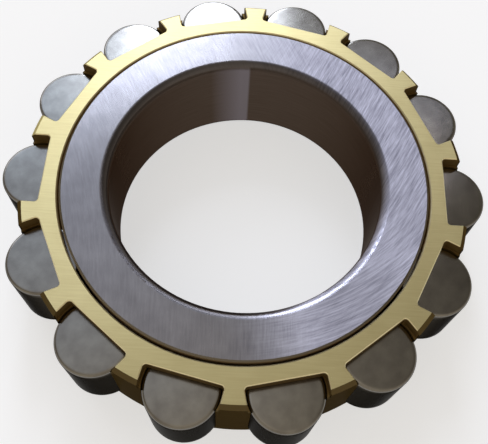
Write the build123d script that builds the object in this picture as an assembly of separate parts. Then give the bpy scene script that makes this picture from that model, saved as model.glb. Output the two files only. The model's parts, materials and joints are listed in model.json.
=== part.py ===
"""Cylindrical roller bearing without an outer ring.

A ribbed steel inner ring carries a full circle of cylindrical rollers. A two-piece brass cage spaces
them: a comb-shaped body with an open slot in front of each roller, and an end ring that closes the
pockets behind. A rivet through each bar joins the two. The rollers stand proud of the cage and run
directly in the bore of the part that is put around them.

Millimetres. The origin is on the bearing axis at mid width, +Z is the axis and points to the face
with the open slots, and the first roller lies on +X.
"""

import os
from math import pi, sin

from build123d import *

# ------------------------------------------------------------------ rollers
roller_count = 14
roller_diameter = 25.0
roller_length = 28.0
roller_edge_radius = 1.0

# ------------------------------------------------------------------ running clearances
raceway_clearance = 0.05       # roller to raceway, on the radius
rib_guide_clearance = 0.1      # roller end to rib, each side
pocket_side_clearance = 0.2    # roller side to pocket wall
pocket_end_clearance = 0.2     # roller end to cage rim, each side
cage_guide_clearance = 0.8     # cage bore to rib, on the radius

# ------------------------------------------------------------------ inner ring
bore_diameter = 95.0
rib_width = 5.9
rib_height = 3.55              # rib above raceway
bore_edge_radius = 3.0
rib_edge_chamfer = 0.7         # outer edge of the side face
rib_lip_chamfer = 0.3          # outer edge next to the rollers
undercut_width = 1.6           # relief groove in each raceway corner
undercut_depth = 0.4

# ------------------------------------------------------------------ cage
bar_width = 7.088              # thinnest part of a bar, which makes 171 mm over the rollers
cage_shoulder = 5.0            # cage outer radius beyond the roller centres
cage_face_inset = 0.8          # cage side face below ring side face
cage_outer_chamfer = 1.5
cage_bore_chamfer = 0.4
slot_land = 5.2                # brass between cage bore and slot floor
slot_side_clearance = 0.5      # roller side to slot wall
slot_corner_radius = 1.2
slot_edge_chamfer = 0.3        # broken edge round each slot

# ------------------------------------------------------------------ rivets
rivet_diameter = 3.5
rivet_hole_clearance = 0.05    # shank to hole, on the radius
rivet_countersink = 0.6        # flush front head: depth, and growth of its radius
rivet_head_overlap = 1.1       # rear head beyond the shank, on the radius
rivet_head_setback = 0.2       # rear head below ring side face

# ------------------------------------------------------------------ worked out
roller_radius = roller_diameter / 2
pocket_radius = roller_radius + pocket_side_clearance
pitch_radius = (pocket_radius + bar_width / 2) / sin(pi / roller_count)
raceway_radius = pitch_radius - roller_radius - raceway_clearance
rib_radius = raceway_radius + rib_height
bore_radius = bore_diameter / 2
raceway_half_width = roller_length / 2 + rib_guide_clearance
ring_half_width = raceway_half_width + rib_width

cage_bore_radius = rib_radius + cage_guide_clearance
cage_outer_radius = pitch_radius + cage_shoulder
cage_half_width = ring_half_width - cage_face_inset
pocket_half_length = roller_length / 2 + pocket_end_clearance
rim_thickness = cage_half_width - pocket_half_length
slot_floor_radius = cage_bore_radius + slot_land
slot_half_width = roller_radius + slot_side_clearance

rivet_radius = rivet_diameter / 2
rivet_hole_radius = rivet_radius + rivet_hole_clearance
rivet_head_radius = rivet_radius + rivet_head_overlap
rivet_head_height = cage_face_inset - rivet_head_setback

roller_step = 360 / roller_count
cut_margin = 1.0               # how far cutters run past the face they open


def turned(points):
    """A solid of revolution about Z from the corners of its half section, given as (radius, z)."""
    return revolve(make_face(Plane.XZ * Polyline(*points, close=True)), Axis.Z)


def make_inner_ring():
    """Ribbed ring with a relief groove in each raceway corner and rounded bore edges."""
    face = ring_half_width
    corner = raceway_half_width
    groove_edge = corner - undercut_width
    groove_radius = raceway_radius - undercut_depth
    upper_half = [
        (raceway_radius, groove_edge),
        (groove_radius, groove_edge + undercut_depth),
        (groove_radius, corner),
        (rib_radius - rib_lip_chamfer, corner),
        (rib_radius, corner + rib_lip_chamfer),
        (rib_radius, face - rib_edge_chamfer),
        (rib_radius - rib_edge_chamfer, face),
        (bore_radius, face),
    ]
    lower_half = [(radius, -height) for radius, height in reversed(upper_half)]
    ring = turned(upper_half + lower_half)
    circles = ring.edges().filter_by(GeomType.CIRCLE)
    bore_edges = [edge for edge in circles if abs(edge.radius - bore_radius) < 0.01]
    return fillet(bore_edges, bore_edge_radius)


def make_roller():
    """One roller, upright about its own axis, with rounded edges."""
    blank = Cylinder(roller_radius, roller_length)
    return fillet(blank.edges().filter_by(GeomType.CIRCLE), roller_edge_radius)


def cage_blank(low, high, low_chamfer, high_chamfer):
    """A turned brass ring between two heights, with its outer and bore edges broken."""
    inner, outer = cage_bore_radius, cage_outer_radius
    bore_low = min(low_chamfer, cage_bore_chamfer)
    bore_high = min(high_chamfer, cage_bore_chamfer)
    corners = [
        (inner, low + bore_low),
        (inner + bore_low, low),
        (outer - low_chamfer, low),
        (outer, low + low_chamfer),
        (outer, high - high_chamfer),
        (outer - high_chamfer, high),
        (inner + bore_high, high),
        (inner, high - bore_high),
    ]
    return turned([p for i, p in enumerate(corners) if p != corners[i - 1]])


def slot_outline(floor_radius, half_width, corner_radius):
    """Plan of one rim slot: a flat floor, rounded inner corners and parallel walls, open outwards."""
    far = cage_outer_radius + half_width
    outline = make_face(Polyline(
        (floor_radius, -half_width), (far, -half_width), (far, half_width), (floor_radius, half_width), close=True
    ))
    return fillet(outline.vertices().group_by(Axis.X)[0], corner_radius)


def slot_cutter():
    """Cuts one rim slot and breaks its front edge at 45 degrees."""
    top = cage_half_width
    plan = slot_outline(slot_floor_radius, slot_half_width, slot_corner_radius)
    slot = Pos(0, 0, pocket_half_length) * extrude(plan, rim_thickness + cut_margin)
    mouth = slot_outline(
        slot_floor_radius - slot_edge_chamfer, slot_half_width + slot_edge_chamfer,
        slot_corner_radius + slot_edge_chamfer,
    )
    broken_edge = loft([Pos(0, 0, top - slot_edge_chamfer) * plan, Pos(0, 0, top) * mouth])
    return slot + broken_edge


def pocket_cutter():
    """Bores one roller pocket from behind, up to the front rim."""
    length = 2 * pocket_half_length + cut_margin
    bore = Cylinder(pocket_radius, length, align=(Align.CENTER, Align.CENTER, Align.MAX))
    return Pos(pitch_radius, 0, pocket_half_length) * bore


def rivet_hole():
    """Straight hole for one rivet, right through the cage."""
    return Pos(pitch_radius, 0, 0) * Cylinder(rivet_hole_radius, 2 * (cage_half_width + cut_margin))


def countersink():
    """Seat of one flush rivet head in the front face."""
    top = cage_half_width
    seat = turned([
        (0, top - rivet_countersink), (rivet_hole_radius, top - rivet_countersink),
        (rivet_hole_radius + rivet_countersink, top), (0, top),
    ])
    return Pos(pitch_radius, 0, 0) * seat


def around(shape, offset=0.0):
    """Copies of a shape for every roller, or for every bar with an offset of half a step."""
    return [Rot(0, 0, (index + offset) * roller_step) * shape for index in range(roller_count)]


def make_cage_body():
    """Comb: front rim and bars, open at the back, with slots in the rim."""
    blank = cage_blank(-pocket_half_length, cage_half_width, 0, cage_outer_chamfer)
    cutters = around(pocket_cutter()) + around(slot_cutter())
    cutters += around(rivet_hole(), 0.5) + around(countersink(), 0.5)
    return blank - cutters


def make_cage_end_ring():
    """Plain ring that closes the pockets behind the rollers."""
    blank = cage_blank(-cage_half_width, -pocket_half_length, cage_outer_chamfer, 0)
    return blank - around(rivet_hole(), 0.5)


def make_rivet():
    """One rivet about its own axis: flush head in front, low domed head behind."""
    top = cage_half_width
    low = -cage_half_width
    dome_radius = (rivet_head_radius ** 2 + rivet_head_height ** 2) / (2 * rivet_head_height)
    sides = Polyline(
        (0, low - rivet_head_height), (0, top), (rivet_radius + rivet_countersink, top),
        (rivet_radius, top - rivet_countersink), (rivet_radius, low), (rivet_head_radius, low),
    )
    dome = RadiusArc((rivet_head_radius, low), (0, low - rivet_head_height), dome_radius)
    return revolve(Plane.XZ * make_face(sides.edges() + dome.edges()), Axis.Z)


def write(name, shape):
    """One STEP file for one node."""
    shape.label = name
    export_step(shape, os.path.join("parts", name + ".step"))
    print(f"{name:16s} {shape.volume:12.2f} mm3  solids {len(shape.solids())}  valid {shape.is_valid}")


def main():
    os.makedirs("parts", exist_ok=True)
    print(f"over the rollers {2 * (pitch_radius + roller_radius):.3f}, pitch radius {pitch_radius:.3f}")
    write("inner_ring", make_inner_ring())
    write("cage_body", make_cage_body())
    write("cage_end_ring", make_cage_end_ring())
    for index, rivet in enumerate(around(Pos(pitch_radius, 0, 0) * make_rivet(), 0.5), start=1):
        write(f"cage_rivet_{index:02d}", rivet)
    for index, roller in enumerate(around(Pos(pitch_radius, 0, 0) * make_roller()), start=1):
        write(f"roller_{index:02d}", roller)


main()
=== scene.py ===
# %% [markdown]
# # A cylindrical roller bearing
# The bearing is a ribbed steel ring, fourteen steel rollers and a riveted brass cage. It has no outer
# ring, so the rollers stand out past the cage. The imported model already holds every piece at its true
# size. This scene gives each piece its finish, and makes the rollers and rivets anew, with the
# slightly domed ends and peened heads that real ones have.

# %% Load the fixed frame
import bpy
import json
import math
from mathutils import Matrix, Vector


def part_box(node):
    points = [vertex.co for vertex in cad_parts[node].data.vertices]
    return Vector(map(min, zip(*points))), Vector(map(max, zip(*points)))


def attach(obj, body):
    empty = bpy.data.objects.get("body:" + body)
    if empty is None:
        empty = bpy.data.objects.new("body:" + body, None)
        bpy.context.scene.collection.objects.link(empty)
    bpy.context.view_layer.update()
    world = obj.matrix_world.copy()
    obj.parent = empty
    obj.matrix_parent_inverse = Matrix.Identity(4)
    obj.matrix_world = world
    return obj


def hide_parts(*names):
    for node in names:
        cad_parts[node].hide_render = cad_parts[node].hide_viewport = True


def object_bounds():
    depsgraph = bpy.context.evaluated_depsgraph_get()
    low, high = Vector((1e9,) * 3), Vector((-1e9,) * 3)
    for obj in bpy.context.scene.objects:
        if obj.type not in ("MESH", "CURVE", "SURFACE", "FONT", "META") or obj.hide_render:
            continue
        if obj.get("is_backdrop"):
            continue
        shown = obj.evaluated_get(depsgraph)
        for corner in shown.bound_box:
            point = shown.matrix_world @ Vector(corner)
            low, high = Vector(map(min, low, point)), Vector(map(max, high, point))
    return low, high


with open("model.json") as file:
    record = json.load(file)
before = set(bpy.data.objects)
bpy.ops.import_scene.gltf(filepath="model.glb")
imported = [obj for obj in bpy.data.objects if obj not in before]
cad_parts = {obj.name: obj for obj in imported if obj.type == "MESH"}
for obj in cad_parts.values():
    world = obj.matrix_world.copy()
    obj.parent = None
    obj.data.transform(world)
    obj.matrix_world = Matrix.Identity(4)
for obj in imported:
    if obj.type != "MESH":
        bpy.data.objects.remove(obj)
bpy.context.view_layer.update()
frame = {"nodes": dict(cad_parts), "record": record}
MM = 0.001

# %% [markdown]
# ## Sizes read from the frame
# The sizes could be typed in again, but a number that is written twice soon differs. So each size that a
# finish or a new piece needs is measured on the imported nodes. The ring gives the face height and the
# bore, and the first roller, which lies on +X, gives the pitch circle.

# %% Sizes
ring_low, ring_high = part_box("inner_ring")
roller_low, roller_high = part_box("roller_01")
cage_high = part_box("cage_body")[1]      # on Y it ends in a bar, and on X in an open slot
ring_face = ring_high.z
rib_radius = ring_high.x
cage_face = cage_high.z
cage_radius = cage_high.y
roller_radius = (roller_high.x - roller_low.x) / 2
roller_half_length = roller_high.z
pitch_radius = (roller_high.x + roller_low.x) / 2
roller_names = sorted(name for name in frame["nodes"] if name.startswith("roller_"))
bore = next(mount for mount in frame["record"]["mounts"] if mount["name"] == "bore")
bore_radius = bore["dims"]["r_mm"] * MM
bore_rounding = ring_face - bore["dims"]["length_mm"] * MM / 2
print(f"{len(roller_names)} rollers of {roller_radius * 2 / MM:.1f} mm "
      f"on a {pitch_radius / MM:.1f} mm circle")
print(f"ring face {ring_face / MM:.1f} mm up, bore {bore_radius * 2 / MM:.1f} mm, "
      f"its edges rounded by {bore_rounding / MM:.1f} mm")

# %% [markdown]
# ## Helpers
# Colours are written as the hex values that a paint program shows. The renderer works in linear light,
# so one function converts them. The second adds a node, sets it and links it, which keeps each
# material and node tree short enough to read from top to bottom. The third starts a material.
#
# A Mix node holds a pair of inputs for each kind of data, and they share their names. So they are given
# by number: 2 and 3 mix numbers, 4 and 5 vectors, 6 and 7 colours, and the results are outputs 0, 1 and 2.

# %% Helpers


def linear(hex_colour):
    """An sRGB hex colour as the linear RGBA that shader sockets take."""
    channels = [int(hex_colour[i:i + 2], 16) / 255 for i in (1, 3, 5)]
    return [c / 12.92 if c <= 0.04045 else ((c + 0.055) / 1.055) ** 2.4 for c in channels] + [1.0]


def add(tree, kind, inputs=None, **settings):
    """Adds one node. inputs gives each socket, by name or number, a value or another node's output."""
    made = tree.nodes.new(kind)
    for name, value in settings.items():
        setattr(made, name, value)
    for name, value in (inputs or {}).items():
        if isinstance(value, bpy.types.NodeSocket):
            tree.links.new(value, made.inputs[name])
        else:
            made.inputs[name].default_value = value
    return made


def new_material(name):
    """An empty node material and its tree."""
    material = bpy.data.materials.new(name)
    material.use_nodes = True
    material.node_tree.nodes.clear()
    return material, material.node_tree


print("linear of #808080 is", [round(channel, 3) for channel in linear("#808080")])

# %% [markdown]
# ## The camera
# The bearing lies on its back face and is seen from above and in front. The camera looks down at about
# sixty degrees from a quarter of a metre, as a phone does, and is rolled a little. A Track To
# constraint could aim it, but would keep it level. So its three axes are worked out from the angles,
# and two lens shifts slide the view sideways and up without turning it.

# %% Camera
VIEW_ELEVATION = math.radians(62.33)
VIEW_TURN = math.radians(-3.62)          # the first roller then sits a little above three o'clock
VIEW_ROLL = math.radians(-6.57)
VIEW_DISTANCE = 253.1 * MM
AIM_RIGHT, AIM_UP = 5.83 * MM, -0.17 * MM
FOCAL_IN_WIDTHS = 1.49282787             # focal length over the width of the view
SHIFT_RIGHT, SHIFT_UP = -0.0385, -0.0852

right = Vector((math.cos(VIEW_TURN), math.sin(VIEW_TURN), 0))
level = Vector((-math.sin(VIEW_TURN), math.cos(VIEW_TURN), 0))
forward = level * math.cos(VIEW_ELEVATION) - Vector((0, 0, math.sin(VIEW_ELEVATION)))
upward = right.cross(forward)
aim = Vector((0, 0, ring_face)) + right * AIM_RIGHT + upward * AIM_UP
camera_right = right * math.cos(VIEW_ROLL) - upward * math.sin(VIEW_ROLL)
camera_up = right * math.sin(VIEW_ROLL) + upward * math.cos(VIEW_ROLL)

camera_data = bpy.data.cameras.new("camera")
camera_data.sensor_width = 36
camera_data.lens = camera_data.sensor_width * FOCAL_IN_WIDTHS
camera_data.shift_x = SHIFT_RIGHT
camera_data.shift_y = SHIFT_UP
camera_data.clip_start = 0.01
camera = bpy.data.objects.new("camera", camera_data)
bpy.context.scene.collection.objects.link(camera)
turn = Matrix((camera_right, camera_up, -forward)).transposed()
camera.matrix_world = Matrix.Translation(aim - forward * VIEW_DISTANCE) @ turn.to_4x4()
bpy.context.scene.camera = camera
print("camera at", [round(v / MM, 1) for v in camera.location], "mm")

# %% [markdown]
# ## Floor
# A sheet of matt paper lies under the bearing. A white diffuse paper alone would render a dull grey, and
# stronger lamps would burn out the brass. So the paper is a pale grey, and an even glow is added that
# only the camera and mirroring metal see. It then reads as a light background, and the bearing keeps a
# soft shadow on it.

# %% Floor
FLOOR_SIZE = 6.0
FLOOR_GAP = 0.02 * MM      # a hair lower than the ring, so that the two faces never share a plane
GLOW = 0.58                # added light, where 1 is white

floor_level = ring_low.z - FLOOR_GAP
half = FLOOR_SIZE / 2
corners = [(-half, -half), (half, -half), (half, half), (-half, half)]
floor_mesh = bpy.data.meshes.new("floor")
floor_mesh.from_pydata([(x, y, floor_level) for x, y in corners], [], [(0, 1, 2, 3)])
floor = bpy.data.objects.new("floor", floor_mesh)
bpy.context.scene.collection.objects.link(floor)
floor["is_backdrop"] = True

# Matt paper gives the eye one even tone without a highlight.
paper, tree = new_material("white_paper_sheet")
sheet = add(tree, "ShaderNodeBsdfDiffuse", {"Color": linear("#c0c2c7")})
ray = add(tree, "ShaderNodeLightPath").outputs
seen = add(tree, "ShaderNodeMath", {0: ray["Is Camera Ray"], 1: ray["Is Glossy Ray"]}, operation="MAXIMUM")
lift = add(tree, "ShaderNodeMath", {0: seen.outputs[0], 1: GLOW}, operation="MULTIPLY")
glow = add(tree, "ShaderNodeEmission", {"Color": linear("#ffffff"), "Strength": lift.outputs[0]})
both = add(tree, "ShaderNodeAddShader", {0: sheet.outputs[0], 1: glow.outputs[0]})
add(tree, "ShaderNodeOutputMaterial", {"Surface": both.outputs[0]})
floor_mesh.materials.append(paper)
print(f"floor {FLOOR_SIZE:.0f} m wide at {floor_level / MM:.2f} mm")

# %% [markdown]
# ## The room
# Polished metal is only as good as what it mirrors. A panorama of a real room could be wrapped round the
# scene, but a few gradients do as well and can be tuned one by one. The room is brightest round the
# window, behind the bearing and a little to the left, and dimmer and warmer elsewhere. The ceiling, the
# lower walls and the wall behind the camera, which faces the window, are a little lighter again. So the
# flat faces run from bright at the back left to dark at the front right.

# %% Room
GLOW_BEARING, GLOW_ELEVATION = 119, 53       # degrees, counted from +X and from the floor
WALL_DIM, WALL_BRIGHT = 0.165, 0.95          # away from the window, and right beside it
CEILING, HIGH_LAMP, LOW_WALLS, REAR_WALL = 0.17, 0.3, 0.28, 0.4


def direction(bearing, elevation):
    """The unit vector that points to a bearing and elevation in degrees."""
    a, e = math.radians(bearing), math.radians(elevation)
    return Vector((math.cos(a) * math.cos(e), math.sin(a) * math.cos(e), math.sin(e)))


world = bpy.data.worlds.new("room")
bpy.context.scene.world = world
world.use_nodes = True
tree = world.node_tree
tree.nodes.clear()
# Each MapRange turns where a ray points into an amount of light: towards the glow, up, or to the rear.
ray = add(tree, "ShaderNodeTexCoord").outputs["Generated"]
towards_glow = add(tree, "ShaderNodeVectorMath", {0: ray, 1: direction(GLOW_BEARING, GLOW_ELEVATION)},
                   operation="DOT_PRODUCT").outputs["Value"]
near_window = add(tree, "ShaderNodeMapRange", {
    "Value": towards_glow, "From Min": 0.84, "From Max": 1.0}).outputs[0]
wall_light = add(tree, "ShaderNodeMapRange", {
    "Value": near_window, "To Min": WALL_DIM, "To Max": WALL_BRIGHT}).outputs[0]
ray_xyz = add(tree, "ShaderNodeSeparateXYZ", {0: ray}).outputs
ceiling_light = add(tree, "ShaderNodeMapRange", {
    "Value": ray_xyz["Z"], "From Min": 0.89, "From Max": 0.99, "To Max": CEILING}).outputs[0]
high_lamp = add(tree, "ShaderNodeMapRange", {
    "Value": ray_xyz["Z"], "From Min": 0.975, "From Max": 1.0, "To Max": HIGH_LAMP}).outputs[0]
low_walls = add(tree, "ShaderNodeMapRange", {
    "Value": ray_xyz["Z"], "From Min": 0.62, "From Max": 0.3, "To Max": LOW_WALLS}).outputs[0]
rear_wall = add(tree, "ShaderNodeMapRange", {
    "Value": ray_xyz["Y"], "From Min": 0.1, "From Max": -0.5, "To Max": REAR_WALL}).outputs[0]
far_room = add(tree, "ShaderNodeMath", {0: low_walls, 1: rear_wall}, operation="MAXIMUM").outputs[0]
room_light = wall_light
for more_light in (ceiling_light, high_lamp, far_room):
    room_light = add(tree, "ShaderNodeMath", {0: room_light, 1: more_light}, operation="ADD").outputs[0]
room_tint = add(tree, "ShaderNodeMix", {"Factor": near_window, 6: linear("#f7e8cf"), 7: linear("#e2ecfb")},
                data_type="RGBA").outputs[2]
room = add(tree, "ShaderNodeBackground", {"Color": room_tint, "Strength": room_light})
add(tree, "ShaderNodeOutputWorld", {"Surface": room.outputs[0]})
print("room of", len(tree.nodes), "nodes, brightest at bearing", GLOW_BEARING)

# %% [markdown]
# ## Lamps
# What the steel mirrors with a clear edge has to be a lamp and no gradient. The window, a curtain and a
# blind beside it whiten the back of the ring and the rollers behind it. A wider side window gives the left
# rollers their sheen, and a desk lamp and a small ceiling spot give the two soft glints on the right.
# Each one stands far away, so it is given by its place and its size in the sky, in degrees.

# %% Lamps
LAMP_DISTANCE = 3.0


def softbox(name, bearing, elevation, width, height, radiance, colour):
    """A rectangular lamp far away. Its sizes are degrees of sky, and a radiance of 1 looks white."""
    lamp = bpy.data.lights.new(name, "AREA")
    lamp.shape = "RECTANGLE"
    lamp.size = 2 * LAMP_DISTANCE * math.tan(math.radians(width / 2))
    lamp.size_y = 2 * LAMP_DISTANCE * math.tan(math.radians(height / 2))
    lamp.energy = radiance * math.pi * lamp.size * lamp.size_y
    lamp.color = linear(colour)[:3]
    away = direction(bearing, elevation)
    stand = bpy.data.objects.new(name, lamp)
    bpy.context.scene.collection.objects.link(stand)
    stand.location = away * LAMP_DISTANCE
    stand.rotation_euler = away.to_track_quat("Z", "Y").to_euler()
    print(f"{name}: {width} by {height} degrees at bearing {bearing}, elevation {elevation}")


softbox("window", 97.0, 37.2, 12, 32, 8.4, "#ebf2ff")
softbox("curtain", 122, 50.5, 10, 10, 1.05, "#dcecff")
softbox("blind", 110, 51.5, 6, 8, 2.1, "#e6f0ff")
softbox("side_window", 130, 27, 34, 26, 1.75, "#f4f6ff")
softbox("desk_lamp", 69, 53.0, 12, 9, 0.6, "#dfe6ff")
softbox("ceiling_spot", 63.9, 57.2, 2.5, 2.5, 5.0, "#fff0e6")

bpy.context.scene.view_settings.view_transform = "Standard"      # it shows a radiance of 1 as white

# %% [markdown]
# ## Pieces that a rule can make
# A roller and a rivet are both turned: a half outline spun about an axis. The Screw modifier could spin
# one, but its sizes would be fixed in the mesh that it spins. A Geometry Nodes tree keeps every size as a
# named input. Two small functions put the rule into a tree. The first draws the half outline through
# its corners, from the top of the axis out and down to its bottom. The second sweeps it round a thin
# spindle circle and closes the poles. The sweep turns the outline's Y axis downwards, so heights are laid
# along minus Y.

# %% Lathe
SPINDLE = 1 * MM           # radius of the circle that carries the outline round
POLE_GAP = 0.001 * MM      # points closer than this on the axis become one


def new_shape_tree(name, sockets):
    """A Geometry Nodes tree with named inputs, given as name: socket type. Returns it and its inputs."""
    tree = bpy.data.node_groups.new(name, "GeometryNodeTree")
    tree.interface.new_socket(name="Geometry", in_out="OUTPUT", socket_type="NodeSocketGeometry")
    for label, kind in sockets.items():
        tree.interface.new_socket(name=label, in_out="INPUT", socket_type=kind)
    return tree, add(tree, "NodeGroupInput").outputs


def outline_through(tree, corners):
    """An open outline through (radius, height) pairs of sockets or numbers, from the top down."""
    line = add(tree, "GeometryNodeCurvePrimitiveLine")
    points = add(tree, "GeometryNodeResampleCurve", {"Curve": line.outputs[0], "Count": len(corners)})
    chosen = tree.nodes.new("GeometryNodeIndexSwitch")
    chosen.data_type = "VECTOR"
    while len(chosen.index_switch_items) < len(corners):
        chosen.index_switch_items.new()
    tree.links.new(add(tree, "GeometryNodeInputIndex").outputs[0], chosen.inputs["Index"])
    for number, (radius, height) in enumerate(corners):
        corner = add(tree, "ShaderNodeCombineXYZ", {"X": radius, "Y": height})
        tree.links.new(corner.outputs[0], chosen.inputs[number + 1])
    laid = add(tree, "ShaderNodeVectorMath", {0: chosen.outputs[0], 1: (1, -1, 1)}, operation="MULTIPLY")
    placed = add(tree, "GeometryNodeSetPosition", {
        "Geometry": points.outputs[0], "Position": laid.outputs[0]})
    return placed.outputs[0]


def spun(tree, outline, steps):
    """The outline spun about the Z axis as a closed mesh."""
    beside = add(tree, "GeometryNodeSetPosition", {"Geometry": outline, "Offset": (-SPINDLE, 0, 0)})
    circle = add(tree, "GeometryNodeCurvePrimitiveCircle", {"Resolution": steps, "Radius": SPINDLE})
    upright = add(tree, "GeometryNodeSetCurveNormal", {"Curve": circle.outputs[0]}, mode="Z_UP")
    swept = add(tree, "GeometryNodeCurveToMesh", {
        "Curve": upright.outputs[0], "Profile Curve": beside.outputs[0]})
    closed = add(tree, "GeometryNodeMergeByDistance", {"Geometry": swept.outputs[0], "Distance": POLE_GAP})
    return closed.outputs[0]


def made_by(tree, name, values):
    """Runs a tree on an empty mesh and keeps the result as a plain mesh object."""
    made = bpy.data.objects.new(name, bpy.data.meshes.new(name))
    bpy.context.scene.collection.objects.link(made)
    nodes = made.modifiers.new("shape", "NODES")
    nodes.node_group = tree
    for socket in tree.interface.items_tree:
        if socket.in_out == "INPUT":
            nodes[socket.identifier] = values[socket.name]
    evaluated = made.evaluated_get(bpy.context.evaluated_depsgraph_get())
    mesh = bpy.data.meshes.new_from_object(evaluated)
    made.modifiers.remove(nodes)
    made.data = mesh
    return made


print("lathe ready, spindle", SPINDLE / MM, "mm")

# %% [markdown]
# ## Roller steel
# Rolling bearing steel is a hard chromium steel, and a roller is ground and then lapped until it
# mirrors. An image could carry the marks, but noise needs no unwrapping and can be scaled in real
# millimetres. Every pattern reads the roller's own coordinates, stored on the mesh, so that it turns with
# the roller. The ends are ground in one pass against a cup wheel, and the side is painted darker, a
# painted shade for the dark room that it mirrors.

# %% Roller steel
END_ARC_SPACING = 0.35 * MM      # coarser than real lapping marks, which would be too fine to show
END_ARC_LENGTH = 14 * MM
FILM_PATCH = 6 * MM              # size of the clouds in the oil film
ARC_START = (3.1, 0, 0)          # a stretch of the noise without a strong band in the middle
SIDE_ENDS = 0.7 * MM             # the side's look ends this far below the end face ...
END_BEGINS = 0.3 * MM            # ... and the end's look begins here, both on the rounded edge
MARK_DEPTH = 0.02 * MM           # height of a fine mark for every bump here, times its own strength
ARC_STRENGTH = 0.03

# Lapped ends give the eye long faint arcs and a soft, cloudy gloss. The side is duller, and painted
# darker as a painted shade, so it shows mostly dark room. The dark Specular Tint is painted shade too:
# without it the steel would go white where it is seen at a low angle.
roller_steel, tree = new_material("lapped_roller_steel")
own = add(tree, "ShaderNodeAttribute", attribute_name="own_place").outputs["Vector"]
own_xyz = add(tree, "ShaderNodeSeparateXYZ", {0: own}).outputs
height = add(tree, "ShaderNodeMath", {0: own_xyz["Z"]}, operation="ABSOLUTE").outputs[0]
on_end = add(tree, "ShaderNodeMapRange", {
    "Value": height, "From Min": roller_half_length - SIDE_ENDS,
    "From Max": roller_half_length - END_BEGINS}).outputs[0]
film = add(tree, "ShaderNodeTexNoise", {
    "Vector": own, "Scale": 1 / FILM_PATCH, "Detail": 3.0}).outputs["Fac"]
cloud = add(tree, "ShaderNodeMapRange", {"Value": film, "From Min": 0.3, "From Max": 0.7}).outputs[0]
stretched = add(tree, "ShaderNodeMapping", {
    "Vector": own, "Location": ARC_START,
    "Scale": (1 / END_ARC_SPACING, 1 / END_ARC_LENGTH, 1 / FILM_PATCH)}).outputs[0]
lapping = add(tree, "ShaderNodeTexNoise", {"Vector": stretched, "Scale": 1.0, "Detail": 2.0}).outputs["Fac"]
end_colour = add(tree, "ShaderNodeMix", {"Factor": cloud, 6: linear("#83817f"), 7: linear("#9a9996")},
                 data_type="RGBA").outputs[2]
# the side's colour is painted shade, darker than the ends
colour = add(tree, "ShaderNodeMix", {"Factor": on_end, 6: linear("#7a7772"), 7: end_colour},
             data_type="RGBA").outputs[2]
end_gloss = add(tree, "ShaderNodeMapRange", {
    "Value": lapping, "From Min": 0.3, "From Max": 0.7, "To Min": 0.15, "To Max": 0.19}).outputs[0]
gloss = add(tree, "ShaderNodeMix", {"Factor": on_end, 2: 0.30, 3: end_gloss}).outputs[0]
arc_strength = add(tree, "ShaderNodeMath", {0: on_end, 1: ARC_STRENGTH}, operation="MULTIPLY").outputs[0]
relief = add(tree, "ShaderNodeBump", {"Strength": arc_strength, "Distance": MARK_DEPTH, "Height": lapping})
surface = add(tree, "ShaderNodeBsdfPrincipled", {
    "Base Color": colour, "Metallic": 1.0, "Roughness": gloss,
    "Specular Tint": linear("#262625"), "Normal": relief.outputs[0]})
add(tree, "ShaderNodeOutputMaterial", {"Surface": surface.outputs[0]})
print(roller_steel.name, "has", len(tree.nodes), "nodes")

# %% [markdown]
# ## Rollers
# A roller is a cylinder whose edges are rounded and whose ends are very slightly domed, so that oil
# is drawn between the end and the rib. The dome is only a tenth of a millimetre high, but it is
# what makes the light fall off across each end. A bevelled cylinder would have flat ends, so a tree draws
# the half outline instead, rounds its two corners, lets the ends fall away from the axis, spins it, and
# puts it on the pitch circle.

# %% Roller tree: the outline
OUTLINE_CUTS = 7      # points between two corners, which the dome needs on the straight end
EDGE_STEPS = 6        # points on each rounded edge
RIM_SHARE = 0.99      # what lies farther out than this share of the radius counts as the rim

roller_tree, given = new_shape_tree("turned_roller", {
    "Radius": "NodeSocketFloat", "Half Length": "NodeSocketFloat", "Edge Radius": "NodeSocketFloat",
    "End Dome": "NodeSocketFloat", "Pitch Radius": "NodeSocketFloat", "Bearing": "NodeSocketFloat",
    "Own Turn": "NodeSocketFloat", "Steps Around": "NodeSocketInt", "Steel": "NodeSocketMaterial"})
tree = roller_tree
half_length = given["Half Length"]
bottom = add(tree, "ShaderNodeMath", {0: half_length, 1: -1.0}, operation="MULTIPLY").outputs[0]
outline = outline_through(tree, [
    (0, half_length), (given["Radius"], half_length), (given["Radius"], bottom), (0, bottom)])
divided = add(tree, "GeometryNodeSubdivideCurve", {"Curve": outline, "Cuts": OUTLINE_CUTS}).outputs[0]

point = add(tree, "ShaderNodeSeparateXYZ", {0: add(tree, "GeometryNodeInputPosition").outputs[0]}).outputs
level_now = add(tree, "ShaderNodeMath", {0: point["Y"]}, operation="ABSOLUTE").outputs[0]
end_zone = add(tree, "ShaderNodeMath", {0: half_length, 1: given["Edge Radius"]},
               operation="SUBTRACT").outputs[0]
at_end = add(tree, "ShaderNodeMath", {0: level_now, 1: end_zone}, operation="GREATER_THAN").outputs[0]
rim_zone = add(tree, "ShaderNodeMath", {0: given["Radius"], 1: RIM_SHARE}, operation="MULTIPLY").outputs[0]
at_rim = add(tree, "ShaderNodeMath", {0: point["X"], 1: rim_zone}, operation="GREATER_THAN").outputs[0]
at_corner = add(tree, "ShaderNodeMath", {0: at_end, 1: at_rim}, operation="MULTIPLY").outputs[0]
corner_radius = add(tree, "ShaderNodeMath", {0: at_corner, 1: given["Edge Radius"]},
                    operation="MULTIPLY").outputs[0]
rounded = add(tree, "GeometryNodeFilletCurve", {
    "Curve": divided, "Radius": corner_radius, "Count": EDGE_STEPS}, mode="POLY").outputs[0]
print("outline with", EDGE_STEPS, "points on each rounded edge")

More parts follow.
